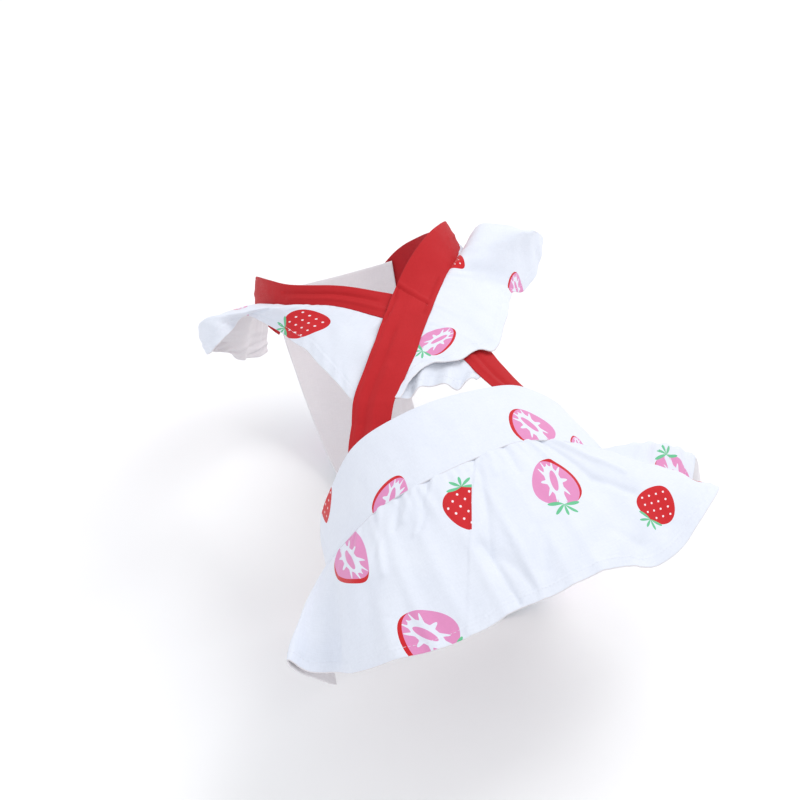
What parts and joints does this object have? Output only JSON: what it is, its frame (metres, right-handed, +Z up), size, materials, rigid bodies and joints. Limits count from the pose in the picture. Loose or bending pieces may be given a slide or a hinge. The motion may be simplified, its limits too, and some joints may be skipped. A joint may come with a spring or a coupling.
{
  "type": "pet dress",
  "caption": "Pet dress with crossed shoulder straps, ruffled sleeves, a wide waistband, a flared gathered skirt and a chest panel, in the form it has when worn.",
  "frame": {"origin": "on the wearer's back, on the underside of the crossing of the two shoulder straps", "axes": "+X to the wearer's right, +Y towards the head end, +Z up"},
  "size_m": [0.2766, 0.3614, 0.193],
  "materials": {
    "white_cotton": "matte",
    "red_cotton": "matte"
  },
  "bodies": {
    "root": {"waistband": "white_cotton", "skirt": "white_cotton", "right_shoulder_strap": "red_cotton", "left_shoulder_strap": "red_cotton", "right_sleeve_ruffle": "white_cotton", "left_sleeve_ruffle": "white_cotton", "chest_panel": "white_cotton"}
  },
  "joints": []
}
